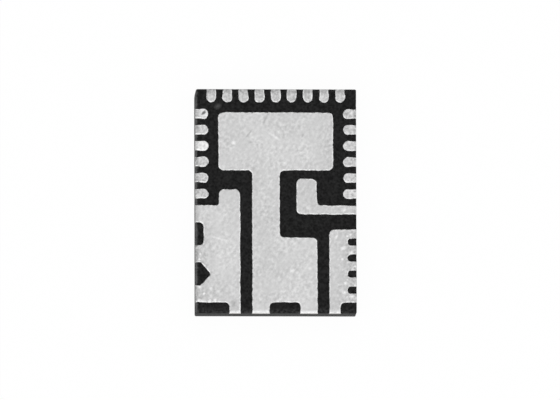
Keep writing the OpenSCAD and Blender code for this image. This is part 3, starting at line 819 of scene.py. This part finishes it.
def lead_row_tree():
    """Geometry Nodes for a row of leads: copies of one lead along a line, each with a tone and an outline
    of its own."""
    tree = bpy.data.node_groups.new("lead_row", "GeometryNodeTree")
    for name, kind in [
        ("Lead", "Object"), ("Count", "Int"), ("First", "Vector"), ("Step", "Vector"), ("Turn", "Float"),
        ("Seed", "Int"), ("Darkest", "Float"), ("Lightest", "Float"), ("Bright lead", "Int"),
        ("Bright tone", "Float"), ("Pitting", "Float"), ("Burnish", "Float"), ("Wave", "Float"),
        ("Wave length", "Float"), ("Plating", "Material"), ("Cut end", "Material"),
    ]:
        tree.interface.new_socket(name, in_out="INPUT", socket_type="NodeSocket" + kind)
    tree.interface.new_socket("Row", in_out="OUTPUT", socket_type="NodeSocketGeometry")
    given = add(tree, "NodeGroupInput").outputs
    line = add(tree, "GeometryNodeMeshLine", {
        "Count": given["Count"], "Start Location": given["First"], "Offset": given["Step"],
    })
    lead = add(tree, "GeometryNodeObjectInfo", {"Object": given["Lead"]})
    turn = add(tree, "ShaderNodeCombineXYZ", {"Z": given["Turn"]})
    row = add(tree, "GeometryNodeInstanceOnPoints", {
        "Points": line.outputs["Mesh"], "Instance": lead.outputs["Geometry"],
        "Rotation": turn.outputs["Vector"],
    })
    # Each lead's own tone and the pits of its tin
    index = add(tree, "GeometryNodeInputIndex").outputs["Index"]
    own = add(tree, "FunctionNodeRandomValue", {
        2: given["Darkest"], 3: given["Lightest"], "ID": index, "Seed": given["Seed"],
    }, data_type="FLOAT")
    bright = add(tree, "FunctionNodeCompare", {
        2: index, 3: given["Bright lead"],
    }, data_type="INT", operation="EQUAL")
    tone = add(tree, "ShaderNodeMath", {
        0: bright.outputs["Result"], 1: given["Bright tone"], 2: own.outputs[1],
    }, operation="MULTIPLY_ADD")
    row = add(tree, "GeometryNodeStoreNamedAttribute", {
        "Geometry": row.outputs["Instances"], "Name": "tone", "Value": tone.outputs["Value"],
    }, data_type="FLOAT", domain="INSTANCE")
    row = add(tree, "GeometryNodeStoreNamedAttribute", {
        "Geometry": row.outputs["Geometry"], "Name": "pitting", "Value": given["Pitting"],
    }, data_type="FLOAT", domain="INSTANCE")
    row = add(tree, "GeometryNodeRealizeInstances", {"Geometry": row.outputs["Geometry"]})
    # The highlight painted on the rounded rim, at this row's strength
    rim = add(tree, "GeometryNodeInputNamedAttribute", {"Name": "burnish"}, data_type="FLOAT")
    brighter = add(tree, "ShaderNodeMath", {0: rim.outputs[0], 1: given["Burnish"]}, operation="MULTIPLY")
    row = add(tree, "GeometryNodeStoreNamedAttribute", {
        "Geometry": row.outputs["Geometry"], "Name": "burnish", "Value": brighter.outputs["Value"],
    }, data_type="FLOAT", domain="POINT")
    # A level noise moves the etched outline sideways
    place = add(tree, "GeometryNodeInputPosition")
    flat = add(tree, "ShaderNodeVectorMath", {
        0: place.outputs["Position"], 1: (1, 1, 0),
    }, operation="MULTIPLY")
    finer = add(tree, "ShaderNodeMath", {0: 1.0, 1: given["Wave length"]}, operation="DIVIDE")
    ripple = add(tree, "ShaderNodeTexNoise", {
        "Vector": flat.outputs["Vector"], "Scale": finer.outputs["Value"], "Detail": 1.0,
    })
    centred = add(tree, "ShaderNodeVectorMath", {
        0: ripple.outputs["Color"], 1: (0.5, 0.5, 0.5),
    }, operation="SUBTRACT")
    sideways = add(tree, "ShaderNodeVectorMath", {
        0: centred.outputs["Vector"], 1: (1, 1, 0),
    }, operation="MULTIPLY")
    etched = add(tree, "GeometryNodeInputNamedAttribute", {"Name": "etched"}, data_type="FLOAT")
    amount = add(tree, "ShaderNodeMath", {0: etched.outputs[0], 1: given["Wave"]}, operation="MULTIPLY")
    shift = add(tree, "ShaderNodeVectorMath", {
        0: sideways.outputs["Vector"], "Scale": amount.outputs["Value"],
    }, operation="SCALE")
    row = add(tree, "GeometryNodeSetPosition", {
        "Geometry": row.outputs["Geometry"], "Offset": shift.outputs["Vector"],
    })
    row = add(tree, "GeometryNodeSetMaterial", {
        "Geometry": row.outputs["Geometry"], "Material": given["Plating"],
    })
    sawn = add(tree, "GeometryNodeInputNamedAttribute", {"Name": "sawn"}, data_type="BOOLEAN")
    row = add(tree, "GeometryNodeSetMaterial", {
        "Geometry": row.outputs["Geometry"], "Selection": sawn.outputs[0], "Material": given["Cut end"],
    })
    add(tree, "NodeGroupOutput", {"Row": row.outputs["Geometry"]})
    return tree


def lead_row(side, tree, lead):
    """The leads along one side of the package, in place of their CAD nodes."""
    look = LEAD_ROWS[side]
    name = side + "_leads"
    nodes = [f"lead_{side}_{number + 1}" for number in range(look["count"])]
    middles = [(low + high) / 2 for low, high in (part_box(node) for node in nodes)]
    outer = {
        "top": Vector((0, package_high.y, 0)),
        "left": Vector((package_low.x, 0, 0)),
        "right": Vector((package_high.x, 0, 0)),
    }[side]
    along = Vector((1, 0, 0)) if side == "top" else Vector((0, 1, 0))
    first = outer + along * middles[0].dot(along)
    step = along * (middles[-1] - middles[0]).dot(along) / (look["count"] - 1)
    piece = new_object(name, bpy.data.meshes.new(name))
    row = piece.modifiers.new("row", "NODES")
    row.node_group = tree
    values = {
        "Lead": lead, "Count": look["count"], "First": first, "Step": step,
        "Turn": math.radians(look["turn"]), "Seed": look["seed"], "Darkest": look["darkest"],
        "Lightest": look["lightest"], "Bright lead": look["bright"], "Bright tone": BRIGHT_TONE,
        "Pitting": LEAD_PITTING, "Burnish": look["burnish"], "Wave": LEAD_WAVE * MM,
        "Wave length": LEAD_WAVE_LENGTH * MM, "Plating": tin, "Cut end": sawn_metal,
    }
    for socket in tree.interface.items_tree:
        if socket.in_out == "INPUT":
            row[socket.identifier] = values[socket.name]
    settle(piece)
    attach(piece, "root")
    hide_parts(*nodes)


def cut_left_wall(solid):
    """Cuts the left wall across near its upper corner, so that it can be worn there."""
    for step in range(CORNER_WEAR_STEPS):
        wall = [
            face for face in solid.faces
            if abs(face.calc_center_median().x - package_low.x) < ON_PLANE
        ]
        away = CORNER_WEAR_LENGTH * (1 - step / CORNER_WEAR_STEPS) * MM
        bmesh.ops.bisect_plane(
            solid, geom=wall + list({edge for face in wall for edge in face.edges}), dist=WELD,
            plane_co=(0, package_high.y - away, 0), plane_no=(0, 1, 0))


def wear_corner(solid):
    """Takes the left wall back towards the upper corner, where handling has worn the package. The points of
    its chipped rim go with it."""
    start = package_high.y - CORNER_WEAR_LENGTH * MM
    past_chips = package_low.x + 2 * CHIP_DEPTH * MM
    for corner in solid.verts:
        along = (corner.co.y - start) / (CORNER_WEAR_LENGTH * MM)
        if along > 0 and corner.co.x < past_chips:
            corner.co.x += CORNER_WEAR * MM * along ** 2


def moulding():
    """The moulded body with the small roundings that the saw leaves: its outer walls are cut, and its
    terminal and marking faces keep the grain of the mould."""
    solid = cad_solid("mould_body")
    cut_left_wall(solid)
    weights = solid.edges.layers.float.new("bevel_weight_edge")
    upper_rims = []
    for edge in solid.edges:
        outside = [face for face in edge.link_faces if on_side(face.calc_center_median())]
        upper = on_level(edge, mould_high.z)
        if len(outside) == 2:
            edge[weights] = 1.0
        elif len(outside) == 1 and (upper or on_level(edge, mould_low.z)):
            edge[weights] = RIM_ROUND / CORNER_ROUND
            if upper:
                upper_rims.append(edge)
    for edge in upper_rims:
        for corner in cut_short(solid, edge, OUTLINE_STEP):
            chip = abs(noise.noise(corner.co / (CHIP_LENGTH * MM))) * CHIP_DEPTH * MM
            corner.co.x -= math.copysign(chip, corner.co.x)
            corner.co.y -= math.copysign(chip, corner.co.y)
    wear_corner(solid)
    piece = solid_object("visual_mould_body", solid)
    round_edges(piece, CORNER_ROUND)
    piece.data.materials.append(black_epoxy)
    piece.data.materials.append(cut_epoxy)
    for face in piece.data.polygons:
        face.material_index = int(abs(face.normal.z) < WALL_BELOW)
    return piece


noise.seed_set(EDGE_WAVE_SEED)
for pad_name in PAD_TONES:
    pad_piece = pad(pad_name)
    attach(pad_piece, "root")
    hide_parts(pad_name)

single_lead = etched_lead()
row_tree = lead_row_tree()
for lead_side in LEAD_ROWS:
    lead_row(lead_side, row_tree, single_lead)
bpy.data.objects.remove(single_lead)

body = moulding()
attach(body, "root")
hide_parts("mould_body")

# Inside: polished silicon is a dark blue-grey mirror, solder and copper are satin metals, and the bond
# wires are drawn gold
silicon = two_tone("polished_silicon", "4e555c", "5f676e", size=0.4, roughness=(0.08, 0.14), metallic=0.0,
                   height=0.0002)
solder = two_tone("reflowed_solder", "8c8c8a", "a9a9a6", size=0.06, roughness=(0.35, 0.5))
copper = two_tone("rolled_copper", "b4684a", "c98362", size=0.05, roughness=(0.3, 0.42), stretch=12.0)
gold = two_tone("drawn_gold_wire", "d3ab57", "e3c070", size=0.02, roughness=(0.2, 0.3), stretch=8.0)


def inner_finish(name):
    """The material of a piece inside the moulding, by its name."""
    if name.startswith("wire_"):
        return gold
    if "attach" in name or "solder" in name:
        return solder
    return silicon if name.endswith("die") else copper


for cad_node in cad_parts.values():
    if not cad_node.hide_render:
        cad_node.data.materials.clear()
        cad_node.data.materials.append(inner_finish(cad_node.name))

# The table, just under the marking face
floor_mesh = bpy.data.meshes.new("table")
floor_corners = [
    (x * FLOOR_HALF_M, y * FLOOR_HALF_M, -FLOOR_GAP * MM)
    for x, y in ((-1, -1), (1, -1), (1, 1), (-1, 1))
]
floor_mesh.from_pydata(floor_corners, [], [(0, 1, 2, 3)])
floor_mesh.materials.append(white_card())
table = new_object("table", floor_mesh)


def softbox(name, azimuth, elevation, level):
    """A square softbox that faces the chip."""
    a = math.radians(azimuth)
    e = math.radians(elevation)
    away = Vector((math.sin(a) * math.cos(e), -math.cos(a) * math.cos(e), math.sin(e)))
    lamp = bpy.data.lights.new(name, "AREA")
    lamp.size = SOFTBOX_SIZE_M
    lamp.energy = level * math.pi ** 2 * SOFTBOX_DISTANCE_M ** 2 / math.sin(e)
    made = new_object(name, lamp)
    made.location = away * SOFTBOX_DISTANCE_M
    made.rotation_euler = away.to_track_quat("Z", "Y").to_euler()
    made.visible_camera = False


for lamp_name, setting in SOFTBOXES.items():
    softbox(lamp_name, *setting)


def light_tent():
    """A white tent round the table, brightest overhead."""
    made = bpy.data.worlds.new("light_tent")
    made.use_nodes = True
    tree = made.node_tree
    tree.nodes.clear()
    toward = add(tree, "ShaderNodeTexCoord").outputs["Generated"]
    height = add(tree, "ShaderNodeSeparateXYZ", {"Vector": toward}).outputs["Z"]
    cloth = add(tree, "ShaderNodeValToRGB", {"Fac": height})
    stops = cloth.color_ramp.elements
    stops.new(TENT_LEVELS[1][0])
    for stop, (at, level) in zip(stops, TENT_LEVELS):
        stop.position = at
        stop.color = (level, level, level, 1.0)
    tent = add(tree, "ShaderNodeBackground", {"Color": cloth.outputs["Color"], "Strength": 1.0})
    add(tree, "ShaderNodeOutputWorld", {"Surface": tent.outputs[0]})
    return made


bpy.context.scene.world = light_tent()

# The camera looks almost straight down, from slightly below and left
camera = new_object("camera", bpy.data.cameras.new("camera"))
bpy.context.scene.camera = camera
camera.data.lens = LENS_MM
camera.data.sensor_width = SENSOR_MM
camera.data.clip_start = CLIP_NEAR_M
camera.data.clip_end = CLIP_FAR_M
aim = Vector((
    (IMAGE_WIDTH / 2 - CHIP_CENTRE_PX[0]) / PIXELS_PER_MM * MM,
    (CHIP_CENTRE_PX[1] - IMAGE_HEIGHT / 2) / PIXELS_PER_MM * MM,
    terminal_z,
))
camera_distance = LENS_MM / SENSOR_MM * IMAGE_WIDTH / PIXELS_PER_MM * MM
backward = Vector((-LEAN_LEFT, -LEAN_DOWN, 1)).normalized()
rightward = Vector((0, 1, 0)).cross(backward).normalized()
upward = backward.cross(rightward)
level_view = Matrix((rightward, upward, backward)).transposed()
turned_view = level_view @ Matrix.Rotation(math.radians(ROLL_DEGREES), 3, "Z")
camera.matrix_world = Matrix.Translation(aim + backward * camera_distance) @ turned_view.to_4x4()

bpy.context.scene.view_settings.view_transform = "Standard"
